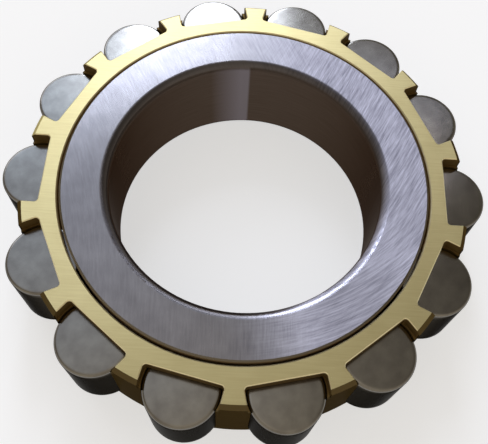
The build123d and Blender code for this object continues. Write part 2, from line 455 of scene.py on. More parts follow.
# %% Roller tree: domed ends, then spun
out_share = add(tree, "ShaderNodeMath", {0: point["X"], 1: given["Radius"]}, operation="DIVIDE").outputs[0]
out_square = add(tree, "ShaderNodeMath", {0: out_share, 1: 2.0}, operation="POWER").outputs[0]
side = add(tree, "ShaderNodeMath", {0: point["Y"]}, operation="SIGN").outputs[0]
outwards = add(tree, "ShaderNodeMath", {0: side, 1: given["End Dome"]}, operation="MULTIPLY").outputs[0]
rise = add(tree, "ShaderNodeMath", {0: out_square, 1: outwards}, operation="MULTIPLY").outputs[0]
fall = add(tree, "ShaderNodeMath", {0: rise, 1: -1.0}, operation="MULTIPLY").outputs[0]
drop = add(tree, "ShaderNodeCombineXYZ", {"Y": fall}).outputs[0]
domed = add(tree, "GeometryNodeSetPosition", {
    "Geometry": rounded, "Selection": at_end, "Offset": drop}).outputs[0]
body = spun(tree, domed, given["Steps Around"])
marked = add(tree, "GeometryNodeStoreNamedAttribute", {
    "Geometry": body, "Name": "own_place", "Value": add(tree, "GeometryNodeInputPosition").outputs[0]},
    data_type="FLOAT_VECTOR", domain="POINT").outputs[0]
smooth = add(tree, "GeometryNodeSetShadeSmooth", {"Geometry": marked}).outputs[0]
print("tree so far:", len(tree.nodes), "nodes")

# %% Roller tree: onto the pitch circle
own_turn = add(tree, "ShaderNodeCombineXYZ", {"Z": given["Own Turn"]}).outputs[0]
moved_out = add(tree, "ShaderNodeCombineXYZ", {"X": given["Pitch Radius"]}).outputs[0]
seated = add(tree, "GeometryNodeTransform", {
    "Geometry": smooth, "Translation": moved_out, "Rotation": own_turn}).outputs[0]
around_ring = add(tree, "ShaderNodeCombineXYZ", {"Z": given["Bearing"]}).outputs[0]
carried = add(tree, "GeometryNodeTransform", {"Geometry": seated, "Rotation": around_ring}).outputs[0]
real = add(tree, "GeometryNodeRealizeInstances", {"Geometry": carried}).outputs[0]
finished = add(tree, "GeometryNodeSetMaterial", {"Geometry": real, "Material": given["Steel"]}).outputs[0]
add(tree, "NodeGroupOutput", {0: finished})
print(tree.name, "has", len(tree.nodes), "nodes")

# %% Rollers on the ring
EDGE_RADIUS = 1.0 * MM
END_DOME = 0.1 * MM
OWN_TURN_STEP = 2.4      # radians from one roller to the next, so that no two show the same clouds
ROLLER_STEPS = 96

for number, name in enumerate(roller_names):
    low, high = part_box(name)
    middle = (low + high) / 2
    roller = made_by(roller_tree, "lapped_" + name, {
        "Radius": roller_radius, "Half Length": roller_half_length, "Edge Radius": EDGE_RADIUS,
        "End Dome": END_DOME, "Pitch Radius": pitch_radius, "Bearing": math.atan2(middle.y, middle.x),
        "Own Turn": OWN_TURN_STEP * number, "Steps Around": ROLLER_STEPS, "Steel": roller_steel})
    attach(roller, name)
    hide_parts(name)
print(len(roller_names), "rollers of", len(roller.data.polygons), "faces")

# %% [markdown]
# ## Ring steel: the grinding marks
# The ring is the same hard steel, ground on every face. A cup wheel sweeps the side face along arcs, so
# the scratches run at a different slant on each side of the bore. Bump alone would need scratches far
# finer than a render can show, so two things stand for them: noise drawn out along circles about the
# wheel's centre, and an anisotropic shader. Ground metal spreads its highlight across the scratches, and
# the shader does so when its tangent points away from the wheel's centre.

# %% Grinding arcs
SCRATCH_WIDTH = 0.7 * MM      # a few grits side by side, drawn as wide as must show
SCRATCH_LENGTH = 11 * MM


def grinding_arcs(tree, flat, centre, layer):
    """Noise drawn out along circles about a centre. Returns it, and the direction away from the centre.
    layer picks another part of the noise, so that no two sweeps share their scratches."""
    away = add(tree, "ShaderNodeVectorMath", {0: flat, 1: centre}, operation="SUBTRACT").outputs[0]
    reach = add(tree, "ShaderNodeVectorMath", {0: away}, operation="LENGTH").outputs["Value"]
    away_xyz = add(tree, "ShaderNodeSeparateXYZ", {0: away}).outputs
    angle = add(tree, "ShaderNodeMath", {0: away_xyz["Y"], 1: away_xyz["X"]},
                operation="ARCTAN2").outputs[0]
    round_length = add(tree, "ShaderNodeMath", {0: angle, 1: max(centre.length, rib_radius)},
                       operation="MULTIPLY").outputs[0]
    across = add(tree, "ShaderNodeMath", {0: reach, 1: SCRATCH_WIDTH}, operation="DIVIDE").outputs[0]
    along = add(tree, "ShaderNodeMath", {0: round_length, 1: SCRATCH_LENGTH}, operation="DIVIDE").outputs[0]
    strip = add(tree, "ShaderNodeCombineXYZ", {"X": across, "Y": along, "Z": layer}).outputs[0]
    noise = add(tree, "ShaderNodeTexNoise", {
        "Vector": strip, "Scale": 1.0, "Detail": 4.0, "Roughness": 0.7})
    outward = add(tree, "ShaderNodeVectorMath", {0: away}, operation="NORMALIZE").outputs[0]
    return noise.outputs["Fac"], outward


print(f"scratches {SCRATCH_WIDTH / MM:.1f} by {SCRATCH_LENGTH / MM:.0f} mm")

# %% [markdown]
# ## Ring steel: three sweeps over the front face
# Three sweeps can be told apart on the face. The main one circles a point behind the bore. The last pass
# was nearly straight and shows on the upper right. At the left the wheel ran out and left hardly any
# scratches, so the steel is smoother and calmer there. Painting them on an image would fix their
# sharpness, so each is a rule with its own centre, and soft shares blend one into the next.

# %% Ring steel: scratches
MAIN_CENTRE = Vector((-9.4, 41.7, 0)) * MM
LAST_CENTRE = Vector((-511, 314, 0)) * MM
RUN_OUT_CENTRE = Vector((-240, -62, 0)) * MM

ring_steel, tree = new_material("ground_ring_steel")
place = add(tree, "ShaderNodeTexCoord").outputs["Object"]
place_xyz = add(tree, "ShaderNodeSeparateXYZ", {0: place}).outputs
flat = add(tree, "ShaderNodeVectorMath", {0: place, 1: (1, 1, 0)}, operation="MULTIPLY").outputs[0]
radius = add(tree, "ShaderNodeVectorMath", {0: flat}, operation="LENGTH").outputs["Value"]
main_sweep, from_main = grinding_arcs(tree, flat, MAIN_CENTRE, 0.0)
last_pass, from_last = grinding_arcs(tree, flat, LAST_CENTRE, 7.0)
run_out, from_run_out = grinding_arcs(tree, flat, RUN_OUT_CENTRE, 13.0)

upper = add(tree, "ShaderNodeMapRange", {
    "Value": place_xyz["Y"], "From Min": -0.6 * rib_radius, "From Max": 0.1 * rib_radius,
    "To Min": 0.15, "To Max": 0.85}, interpolation_type="SMOOTHSTEP").outputs[0]
marks = add(tree, "ShaderNodeMix", {"Factor": upper, 2: main_sweep, 3: last_pass}).outputs[0]
from_centre = add(tree, "ShaderNodeMix", {"Factor": upper, 4: from_main, 5: from_last},
                  data_type="VECTOR").outputs[1]
off_middle = add(tree, "ShaderNodeMath", {0: place_xyz["Y"]}, operation="ABSOLUTE").outputs[0]
across_face = add(tree, "ShaderNodeMath", {0: off_middle, 1: -0.2, 2: place_xyz["X"]},
                  operation="MULTIPLY_ADD").outputs[0]
scratched = add(tree, "ShaderNodeMapRange", {
    "Value": across_face, "From Min": -0.35 * rib_radius, "From Max": 0.35 * rib_radius},
    interpolation_type="SMOOTHSTEP").outputs[0]
marks = add(tree, "ShaderNodeMix", {"Factor": scratched, 2: run_out, 3: marks}).outputs[0]
from_centre = add(tree, "ShaderNodeMix", {"Factor": scratched, 4: from_run_out, 5: from_centre},
                  data_type="VECTOR").outputs[1]
for centre in (MAIN_CENTRE, LAST_CENTRE, RUN_OUT_CENTRE):
    print("a sweep about", [round(v / MM, 1) for v in centre.xy], "mm")

# %% Ring steel: colour of the face
STEEL_PATCH = 7 * MM      # size of the faint clouds that handling leaves on ground steel

# Scratched steel gives the eye a streaky cool grey with pale lines, and the run-out a calmer one.
marks_wide = add(tree, "ShaderNodeMapRange", {
    "Value": marks, "From Min": 0.36, "From Max": 0.64}).outputs[0]
cloud = add(tree, "ShaderNodeTexNoise", {
    "Vector": place, "Scale": 1 / STEEL_PATCH, "Detail": 6.0}).outputs["Fac"]
rough_tone = add(tree, "ShaderNodeMix", {"Factor": 0.3, 2: marks_wide, 3: cloud}).outputs[0]
rough_colour = add(tree, "ShaderNodeMix", {
    "Factor": rough_tone, 6: linear("#807f8d"), 7: linear("#d9d8e8")}, data_type="RGBA").outputs[2]
calm_tone = add(tree, "ShaderNodeMix", {"Factor": 0.75, 2: marks_wide, 3: cloud}).outputs[0]
calm_colour = add(tree, "ShaderNodeMix", {"Factor": calm_tone, 6: linear("#838187"), 7: linear("#b0aeb4")},
                  data_type="RGBA").outputs[2]
face_colour = add(tree, "ShaderNodeMix", {"Factor": scratched, 6: calm_colour, 7: rough_colour},
                  data_type="RGBA").outputs[2]
print(f"clouds of {STEEL_PATCH / MM:.0f} mm under the scratches")

# %% [markdown]
# ## Ring steel: the bore
# The bore is ground round and round. It is painted a dark brown, a painted shade for the deep hole and
# the dark room that it mirrors, and one strip is painted lighter, a painted reflection. The shade could be
# a clear coat over the steel, but it is so dark that a brown metal does the same with less noise. The
# grinding lines and the strip both read the angle round the bore.

# %% Ring steel: bore
BORE_LINE = 0.6 * MM         # coarser than real grinding lines, which would be too fine to show
BORE_LINE_TURN = 3.0         # how often a line changes within one radian
STRIP_START = math.radians(90.5), math.radians(91.5)      # the strip of painted reflection begins sharply ...
STRIP_END = math.radians(95), math.radians(109)           # ... and fades out
BORE_SHADE_FADE = 0.05 * MM, 0.9 * MM      # out from the wall, the bore's look and its painted shade fade out between these two

bore_angle = add(tree, "ShaderNodeMath", {0: place_xyz["Y"], 1: place_xyz["X"]},
                 operation="ARCTAN2").outputs[0]
line_turn = add(tree, "ShaderNodeMath", {0: bore_angle, 1: BORE_LINE_TURN}, operation="MULTIPLY").outputs[0]
line_step = add(tree, "ShaderNodeMath", {0: place_xyz["Z"], 1: BORE_LINE}, operation="DIVIDE").outputs[0]
turns = add(tree, "ShaderNodeCombineXYZ", {"X": line_turn, "Y": line_step}).outputs[0]
bore_lines = add(tree, "ShaderNodeTexNoise", {"Vector": turns, "Scale": 1.0, "Detail": 3.0}).outputs["Fac"]
# a dark brown painted shade over the bore, with the grinding lines in it
bore_shade_colour = add(tree, "ShaderNodeMix", {"Factor": bore_lines, 6: linear("#4f443b"), 7: linear("#645850")},
                  data_type="RGBA").outputs[2]
# one strip painted lighter, a painted reflection
strip_in = add(tree, "ShaderNodeMapRange", {
    "Value": bore_angle, "From Min": STRIP_START[0], "From Max": STRIP_START[1]}).outputs[0]
strip_out = add(tree, "ShaderNodeMapRange", {
    "Value": bore_angle, "From Min": STRIP_END[0], "From Max": STRIP_END[1],
    "To Min": 1.0, "To Max": 0.0}).outputs[0]
painted_strip_light = add(tree, "ShaderNodeMath", {0: strip_in, 1: strip_out}, operation="MULTIPLY").outputs[0]
bore_colour = add(tree, "ShaderNodeMix", {"Factor": painted_strip_light, 6: bore_shade_colour, 7: linear("#817a7e")},
                  data_type="RGBA").outputs[2]
on_bore = add(tree, "ShaderNodeMapRange", {
    "Value": radius, "From Min": bore_radius + BORE_SHADE_FADE[0], "From Max": bore_radius + BORE_SHADE_FADE[1],
    "To Min": 1.0, "To Max": 0.0}, interpolation_type="SMOOTHSTEP").outputs[0]
# the oil film printed here is the bore's painted shade
print(f"oil film up to {BORE_SHADE_FADE[1] / MM:.1f} mm from the bore's wall")

# %% [markdown]
# ## Ring steel: painted shade on the edges
# The rounding of the bore is painted darker all round, a painted shade for the dark room that it mirrors,
# but less at the front right. The face there is painted a little darker too, a painted shade. The rounded
# edge itself is smoother than the face, so at the front right it mirrors the window in one bright line.
# Painted weights would do, but each of these lies in one direction from the middle, so a dot product with
# that direction is enough.

# %% Ring steel: painted shade on the edges
FRONT_RIGHT = (0.64, -0.77, 0)       # where the face is painted a little darker, a painted shade, and where the rounding is smoother
LEAST_SHADED_SIDE = (0.785, -0.62, 0)       # where the painted shade on the rounding is lightest
MOST_SHADE, LEAST_SHADE = 0.74, 0.15
FACE_SHADE = 0.23
EDGE_WIDTH = 0.75 * MM               # the broken outer edge, which is coloured a darker warm grey
DRY_IN = 1.4 * MM, 2.0 * MM          # the bright line begins this far out from the bore ...
DRY_OUT = 2.8 * MM                   # ... and ends from here to the face

on_rounding = add(tree, "ShaderNodeMapRange", {
    "Value": radius, "From Min": bore_radius + 0.8 * bore_rounding, "From Max": bore_radius + bore_rounding,
    "To Min": 1.0, "To Max": 0.0}).outputs[0]
front_right = add(tree, "ShaderNodeVectorMath", {0: flat, 1: FRONT_RIGHT},
                  operation="DOT_PRODUCT").outputs["Value"]
least_shaded_side = add(tree, "ShaderNodeVectorMath", {0: flat, 1: LEAST_SHADED_SIDE},
                 operation="DOT_PRODUCT").outputs["Value"]

# painted shade on the face, in a wedge at the front right
towards_front = add(tree, "ShaderNodeMath", {0: front_right, 1: radius}, operation="DIVIDE").outputs[0]
face_shade = add(tree, "ShaderNodeMapRange", {
    "Value": towards_front, "From Min": 0.92, "From Max": 1.0, "To Max": FACE_SHADE},
    interpolation_type="SMOOTHSTEP").outputs[0]
face_shade = add(tree, "ShaderNodeMix", {"Factor": on_rounding, 2: face_shade, 3: 0.0}).outputs[0]
face_colour = add(tree, "ShaderNodeMix", {"Factor": face_shade, 6: face_colour, 7: linear("#55545c")},
                  data_type="RGBA").outputs[2]
# painted shade on the rounding, all round, lightest at the front right
rounding_shade = add(tree, "ShaderNodeMapRange", {
    "Value": least_shaded_side, "From Min": 0.6 * bore_radius, "From Max": 0.95 * bore_radius,
    "To Min": MOST_SHADE, "To Max": LEAST_SHADE}).outputs[0]
rounding_shade = add(tree, "ShaderNodeMath", {0: on_rounding, 1: rounding_shade}, operation="MULTIPLY").outputs[0]
face_colour = add(tree, "ShaderNodeMix", {"Factor": rounding_shade, 6: face_colour, 7: linear("#444042")},
                  data_type="RGBA").outputs[2]
on_edge = add(tree, "ShaderNodeMath", {0: radius, 1: rib_radius - EDGE_WIDTH},
              operation="GREATER_THAN").outputs[0]
face_colour = add(tree, "ShaderNodeMix", {"Factor": on_edge, 6: face_colour, 7: linear("#7a746a")},
                  data_type="RGBA").outputs[2]

dry = add(tree, "ShaderNodeMapRange", {
    "Value": front_right, "From Min": 0.8 * bore_radius, "From Max": 0.95 * bore_radius}).outputs[0]
dry_inner = add(tree, "ShaderNodeMapRange", {
    "Value": radius, "From Min": bore_radius + DRY_IN[0], "From Max": bore_radius + DRY_IN[1]}).outputs[0]
dry_outer = add(tree, "ShaderNodeMapRange", {
    "Value": radius, "From Min": bore_radius + bore_rounding, "From Max": bore_radius + DRY_OUT}).outputs[0]
dry_line = add(tree, "ShaderNodeMath", {0: dry_outer, 1: dry_inner}, operation="MULTIPLY").outputs[0]
dry_line = add(tree, "ShaderNodeMath", {0: dry_line, 1: dry}, operation="MULTIPLY").outputs[0]
# the film printed here is the rounding's painted shade
print(f"film on the rounding from {MOST_SHADE} down to {LEAST_SHADE} at the front right")

# %% [markdown]
# ## Ring steel: raceway, ribs and shader
# The raceway and the inner walls of the ribs are honed, so they are brighter and smoother than the
# faces. The outer wall of each rib runs beside the cage in a narrow gap. It is painted a matt brown, partly
# for oil and brass dust and partly a painted bounce light from the brass. One material with shares of
# each look keeps the ring a single piece, as it is, and needs no cut where one look ends.

# %% Ring steel: honed track and oily rib walls
TRACK_DEPTH = 1.0 * MM      # what lies deeper than this below the face, far out, is honed
TRACK_SHARE = 0.9           # of the rib's radius: farther out than this counts as far out
RIB_WALL = 0.2 * MM

height = add(tree, "ShaderNodeMath", {0: place_xyz["Z"]}, operation="ABSOLUTE").outputs[0]
deep = add(tree, "ShaderNodeMath", {0: height, 1: ring_face - TRACK_DEPTH},
           operation="LESS_THAN").outputs[0]
outside = add(tree, "ShaderNodeMath", {0: radius, 1: rib_radius * TRACK_SHARE},
              operation="GREATER_THAN").outputs[0]
honed = add(tree, "ShaderNodeMath", {0: deep, 1: outside}, operation="MULTIPLY").outputs[0]
rib_wall = add(tree, "ShaderNodeMath", {0: radius, 1: rib_radius - RIB_WALL},
               operation="GREATER_THAN").outputs[0]
colour = add(tree, "ShaderNodeMix", {"Factor": on_bore, 6: face_colour, 7: bore_colour},
             data_type="RGBA").outputs[2]
colour = add(tree, "ShaderNodeMix", {"Factor": honed, 6: colour, 7: linear("#a5a3a6")},
             data_type="RGBA").outputs[2]
# the rib wall's brown: oil and dust, and painted bounce light from the brass
colour = add(tree, "ShaderNodeMix", {"Factor": rib_wall, 6: colour, 7: linear("#786850")},
             data_type="RGBA").outputs[2]
print(f"honed deeper than {TRACK_DEPTH / MM:.0f} mm below the faces")

# %% Ring steel: gloss and shader
RUN_OUT_GLOSS, DRY_GLOSS, BORE_GLOSS, HONED_GLOSS, OILY_GLOSS = 0.27, 0.24, 0.34, 0.18, 0.6
BROWN_COVER = 0.9             # share of the rib wall's metal that the painted brown hides: oil, dust and painted bounce light
SCRATCH_STRENGTH = 0.3

# Wherever the wheel went, the highlight is drawn out across its scratches. In the bore it is drawn out
# along the axis, because the scratches run round it.
scratched_gloss = add(tree, "ShaderNodeMapRange", {
    "Value": upper, "To Min": 0.54, "To Max": 0.60}).outputs[0]
gloss = add(tree, "ShaderNodeMix", {"Factor": scratched, 2: RUN_OUT_GLOSS, 3: scratched_gloss}).outputs[0]
gloss = add(tree, "ShaderNodeMix", {"Factor": dry_line, 2: gloss, 3: DRY_GLOSS}).outputs[0]
gloss = add(tree, "ShaderNodeMix", {"Factor": on_bore, 2: gloss, 3: BORE_GLOSS}).outputs[0]
gloss = add(tree, "ShaderNodeMix", {"Factor": honed, 2: gloss, 3: HONED_GLOSS}).outputs[0]
gloss = add(tree, "ShaderNodeMix", {"Factor": rib_wall, 2: gloss, 3: OILY_GLOSS}).outputs[0]
bare = add(tree, "ShaderNodeMath", {0: rib_wall, 1: -BROWN_COVER, 2: 1.0},
           operation="MULTIPLY_ADD").outputs[0]
spread = add(tree, "ShaderNodeMix", {"Factor": on_bore, 4: from_centre, 5: (0, 0, 1)},
             data_type="VECTOR").outputs[1]
scratch_strength = add(tree, "ShaderNodeMath", {0: scratched, 1: SCRATCH_STRENGTH},
                       operation="MULTIPLY").outputs[0]
relief = add(tree, "ShaderNodeBump", {
    "Strength": scratch_strength, "Distance": MARK_DEPTH, "Height": marks})
# The grey Specular Tint dims the steel where it is seen at a low angle, a painted shade that falls mostly
# on the bore.
surface = add(tree, "ShaderNodeBsdfPrincipled", {
    "Base Color": colour, "Metallic": bare, "Roughness": gloss, "Anisotropic": 0.85, "Tangent": spread,
    "Specular Tint": linear("#827d78"), "Normal": relief.outputs[0]})
add(tree, "ShaderNodeOutputMaterial", {"Surface": surface.outputs[0]})
frame["nodes"]["inner_ring"].material_slots[0].material = ring_steel
print(ring_steel.name, "has", len(tree.nodes), "nodes")

# %% [markdown]
# ## Cage brass: the milled faces
# The cage is turned and milled from cast brass. Its flat faces were cleaned up by one wide cutter, which
# leaves very fine parallel marks and a satin gloss. The front side is painted a little darker, a painted
# shade.
# The rivet heads are dressed together with the face, so the marks are a function that both materials
# call. The heads then carry the same marks on, and all but vanish in the face.

# %% Milled brass
CUTTER_MARK = 0.45 * MM      # feed marks, drawn coarser than the real 0.1 mm so that they show
MARK_LENGTH = 12 * MM
MARK_LAYER = 5 * MM          # going down from the face, the marks change this slowly
MARK_TURN = 0.1              # radians that the cutter's way is turned from the X axis
STAIN_PATCH = 11 * MM
SHADED_SIDE = (0.34, -0.94, 0)      # the side that is painted darker, a painted shade
SIDE_SHADE = 0.33


def milled_face(tree, place):
    """Colour and gloss of a brass face under one wide cutter, with painted shade on its front side, and its
    feed marks, which both follow.
    """
    stretched = add(tree, "ShaderNodeMapping", {
        "Vector": place, "Rotation": (0, 0, MARK_TURN),
        "Scale": (1 / MARK_LENGTH, 1 / CUTTER_MARK, 1 / MARK_LAYER)}).outputs[0]
    feed = add(tree, "ShaderNodeTexNoise", {
        "Vector": stretched, "Scale": 1.0, "Detail": 3.0}).outputs["Fac"]
    feed_wide = add(tree, "ShaderNodeMapRange", {
        "Value": feed, "From Min": 0.35, "From Max": 0.65}).outputs[0]
    stain = add(tree, "ShaderNodeTexNoise", {
        "Vector": place, "Scale": 1 / STAIN_PATCH, "Detail": 4.0}).outputs["Fac"]
    tone = add(tree, "ShaderNodeMix", {"Factor": 0.7, 2: feed_wide, 3: stain}).outputs[0]
    unshaded = add(tree, "ShaderNodeMix", {"Factor": tone, 6: linear("#cfc18f"), 7: linear("#e9deab")},
                data_type="RGBA").outputs[2]
    toward_shaded_side = add(tree, "ShaderNodeVectorMath", {0: place, 1: SHADED_SIDE}, operation="DOT_PRODUCT")
    # painted shade, darker towards the front side
    film = add(tree, "ShaderNodeMapRange", {
        "Value": toward_shaded_side.outputs["Value"], "From Min": 0.3 * cage_radius, "From Max": 0.75 * cage_radius,
        "To Max": SIDE_SHADE}).outputs[0]
    colour = add(tree, "ShaderNodeMix", {"Factor": film, 6: unshaded, 7: linear("#9a8e62")},
                 data_type="RGBA").outputs[2]
    gloss = add(tree, "ShaderNodeMapRange", {"Value": feed, "To Min": 0.40, "To Max": 0.47}).outputs[0]
    return colour, gloss, feed


print(f"feed marks {CUTTER_MARK / MM:.2f} mm apart")

# %% [markdown]
# ## Cage brass: walls and edges
# Only the faces are bright. The walls of the slots and bars are rougher and painted dark brown, a painted
# shade for the hollows, and the bar ends darker still. Beside the ring the cage's bore is a lighter matt
# brown, partly oil and partly a painted bounce light. The broken edges are painted bright, a painted
# highlight, but on the shaded side the outer chamfer is painted as dark as the wall below it. Separate
# materials would need the cage to be cut up, so the material tells its sides apart itself: by how steeply
# a surface stands, and by its height and its distance from the middle.

# %% Cage brass: telling its sides apart
SUNK = 2 * MM                 # everything deeper than this below the faces is a wall or a floor
BEVEL, BEVEL_MARGIN = 0.707, 0.12      # the slope of a 45 degree edge, and what still counts as one
LINING = 1.5 * MM             # what lies closer than this to the ribs is the bore of the cage
BAR_END = 0.4 * MM            # the outermost part of the cage is the end of its bars
CHAMFER = 1.5 * MM            # and a slope this close to the outside is their outer chamfer

cage_brass, tree = new_material("milled_cage_brass")
place = add(tree, "ShaderNodeTexCoord").outputs["Object"]
flat = add(tree, "ShaderNodeVectorMath", {0: place, 1: (1, 1, 0)}, operation="MULTIPLY").outputs[0]
radius = add(tree, "ShaderNodeVectorMath", {0: flat}, operation="LENGTH").outputs["Value"]
place_xyz = add(tree, "ShaderNodeSeparateXYZ", {0: place}).outputs
height = add(tree, "ShaderNodeMath", {0: place_xyz["Z"]}, operation="ABSOLUTE").outputs[0]
facing = add(tree, "ShaderNodeSeparateXYZ", {
    0: add(tree, "ShaderNodeNewGeometry").outputs["Normal"]}).outputs
flatness = add(tree, "ShaderNodeMath", {0: facing["Z"]}, operation="ABSOLUTE").outputs[0]
upright = add(tree, "ShaderNodeMapRange", {
    "Value": flatness, "From Min": 0.3, "From Max": 0.6, "To Min": 1.0, "To Max": 0.0}).outputs[0]
sunk = add(tree, "ShaderNodeMath", {0: height, 1: cage_face - SUNK}, operation="LESS_THAN").outputs[0]
slope = add(tree, "ShaderNodeMath", {0: flatness, 1: BEVEL, 2: BEVEL_MARGIN},
            operation="COMPARE").outputs[0]
beside_ring = add(tree, "ShaderNodeMath", {0: radius, 1: rib_radius + LINING},
                  operation="LESS_THAN").outputs[0]
far_out = add(tree, "ShaderNodeMath", {0: radius, 1: cage_radius - CHAMFER},
              operation="GREATER_THAN").outputs[0]
outer_slope = add(tree, "ShaderNodeMath", {0: slope, 1: far_out}, operation="MULTIPLY").outputs[0]
broken_edge = add(tree, "ShaderNodeMath", {0: slope, 1: outer_slope}, operation="SUBTRACT").outputs[0]
toward_shaded_side = add(tree, "ShaderNodeVectorMath", {0: place, 1: SHADED_SIDE},
               operation="DOT_PRODUCT").outputs["Value"]
# the side painted in shade, where the outer chamfer is painted as dark as the wall
on_shaded_side = add(tree, "ShaderNodeMapRange", {
    "Value": toward_shaded_side, "From Min": -0.5 * cage_radius, "From Max": -0.2 * cage_radius}).outputs[0]
shaded_chamfer = add(tree, "ShaderNodeMath", {0: outer_slope, 1: on_shaded_side}, operation="MULTIPLY").outputs[0]
wall = add(tree, "ShaderNodeMath", {0: upright, 1: sunk}, operation="MAXIMUM").outputs[0]
on_wall = add(tree, "ShaderNodeMath", {0: wall, 1: shaded_chamfer}, operation="MAXIMUM").outputs[0]
outermost = add(tree, "ShaderNodeMath", {0: radius, 1: cage_radius - BAR_END},
                operation="GREATER_THAN").outputs[0]
bar_end = add(tree, "ShaderNodeMath", {0: outermost, 1: shaded_chamfer}, operation="MAXIMUM").outputs[0]
print(f"walls and floors lie at least {SUNK / MM:.0f} mm below the faces")

# %% Cage brass: colours and shader
SHADE_MOTTLE_PATCH = 3 * MM
SLOT_SHADE_COVER, LINING_FILM = 0.4, 0.8      # share of the metal that the brown hides: painted shade in the slots, oil and painted bounce light beside the ring
PAINTED_EDGE_HIGHLIGHT = 0.8
WALL_GLOSS = 0.5
FEED_STRENGTH = 0.07

# Milled faces give the eye pale satin yellow with calm streaks. The walls are painted a dull dark brown, a
# painted shade, and the broken edges pale, a painted highlight.
face_colour, face_gloss, feed = milled_face(tree, place)
shade_mottle = add(tree, "ShaderNodeTexNoise", {
    "Vector": place, "Scale": 1 / SHADE_MOTTLE_PATCH, "Detail": 4.0}).outputs["Fac"]
# the walls' painted shade, mottled; beside the ring a lighter matt brown for oil and painted bounce light
slot_colour = add(tree, "ShaderNodeMix", {"Factor": shade_mottle, 6: linear("#6a5430"), 7: linear("#8f784c")},
                  data_type="RGBA").outputs[2]
slot_colour = add(tree, "ShaderNodeMix", {"Factor": beside_ring, 6: slot_colour, 7: linear("#c49c60")},
                  data_type="RGBA").outputs[2]
# the bar ends and the shaded outer chamfer painted darker still, a painted shade
wall_colour = add(tree, "ShaderNodeMix", {"Factor": bar_end, 6: slot_colour, 7: linear("#64563a")},
                  data_type="RGBA").outputs[2]
colour = add(tree, "ShaderNodeMix", {"Factor": on_wall, 6: face_colour, 7: wall_colour},
             data_type="RGBA").outputs[2]
# the broken edges painted pale, a painted highlight
edge_highlight_share = add(tree, "ShaderNodeMath", {0: broken_edge, 1: PAINTED_EDGE_HIGHLIGHT}, operation="MULTIPLY").outputs[0]
colour = add(tree, "ShaderNodeMix", {"Factor": edge_highlight_share, 6: colour, 7: linear("#fff6cf")},
             data_type="RGBA").outputs[2]
in_slot = add(tree, "ShaderNodeMath", {0: on_wall, 1: bar_end}, operation="GREATER_THAN").outputs[0]
brown_cover = add(tree, "ShaderNodeMapRange", {
    "Value": beside_ring, "To Min": -SLOT_SHADE_COVER, "To Max": -LINING_FILM}).outputs[0]
bare = add(tree, "ShaderNodeMath", {0: in_slot, 1: brown_cover, 2: 1.0}, operation="MULTIPLY_ADD").outputs[0]
gloss = add(tree, "ShaderNodeMix", {"Factor": on_wall, 2: face_gloss, 3: WALL_GLOSS}).outputs[0]
relief = add(tree, "ShaderNodeBump", {"Strength": FEED_STRENGTH, "Distance": MARK_DEPTH, "Height": feed})
# The dark Specular Tint is painted shade: it keeps the brass from going pale where it is seen at a low
# angle.
surface = add(tree, "ShaderNodeBsdfPrincipled", {
    "Base Color": colour, "Metallic": bare, "Roughness": gloss,
    "Specular Tint": linear("#30260c"), "Normal": relief.outputs[0]})
add(tree, "ShaderNodeOutputMaterial", {"Surface": surface.outputs[0]})
for name in ("cage_body", "cage_end_ring"):
    frame["nodes"][name].material_slots[0].material = cage_brass
print(cage_brass.name, "has", len(tree.nodes), "nodes")

# %% [markdown]
# ## Rivet brass
# The rivets are drawn brass wire, softer and a little yellower than the cage. In front they are dressed
# flush, so that end takes the look of the milled face. Behind they are set with a hand punch, which
# leaves the head brighter where it was struck. Two materials could share a rivet, but the sign of the
# height tells front from back, so one does both.

# %% Rivet brass
PUNCH_MARK = 0.8 * MM      # width of the spot that one blow of the punch brightens

# A punched head gives the eye small soft glints that change from dent to dent.
rivet_brass, tree = new_material("peened_rivet_brass")
place = add(tree, "ShaderNodeTexCoord").outputs["Object"]
place_xyz = add(tree, "ShaderNodeSeparateXYZ", {0: place}).outputs
own = add(tree, "ShaderNodeAttribute", attribute_name="own_place").outputs["Vector"]
front = add(tree, "ShaderNodeMath", {0: place_xyz["Z"], 1: 0.0}, operation="GREATER_THAN").outputs[0]
dents = add(tree, "ShaderNodeTexNoise", {
    "Vector": own, "Scale": 1 / PUNCH_MARK, "Detail": 2.0}).outputs["Fac"]
head_colour = add(tree, "ShaderNodeMix", {"Factor": dents, 6: linear("#c9b67c"), 7: linear("#efe0a8")},
                  data_type="RGBA").outputs[2]
head_gloss = add(tree, "ShaderNodeMapRange", {"Value": dents, "To Min": 0.48, "To Max": 0.36}).outputs[0]
# the front end takes the milled face, with its painted shade
face_colour, face_gloss, feed = milled_face(tree, place)
colour = add(tree, "ShaderNodeMix", {"Factor": front, 6: head_colour, 7: face_colour},
             data_type="RGBA").outputs[2]
gloss = add(tree, "ShaderNodeMix", {"Factor": front, 2: head_gloss, 3: face_gloss}).outputs[0]
# The dark Specular Tint is painted shade, as on the cage.
surface = add(tree, "ShaderNodeBsdfPrincipled", {
    "Base Color": colour, "Metallic": 1.0, "Roughness": gloss, "Specular Tint": linear("#30260c")})
add(tree, "ShaderNodeOutputMaterial", {"Surface": surface.outputs[0]})
print(rivet_brass.name, "has", len(tree.nodes), "nodes")

# %% [markdown]
# ## Rivets
# One soft brass rivet through each bar holds the end ring to the cage body. Its front end is driven into
# a countersink and dressed flush. Its rear head is a low dome with small dents that never repeat. They
# could be fourteen copies of one mesh, but every real head was struck anew. One tree draws the rivet, dents
# it, turns each copy by a random angle from a fixed seed, and sets all of them round the cage.

# %% Rivet tree: the outline
HEAD_CUTS = 4                # points between two corners, which the dome needs
FACE_MARGIN = 0.01 * MM      # what stands out past a cage face by more than this belongs to a head

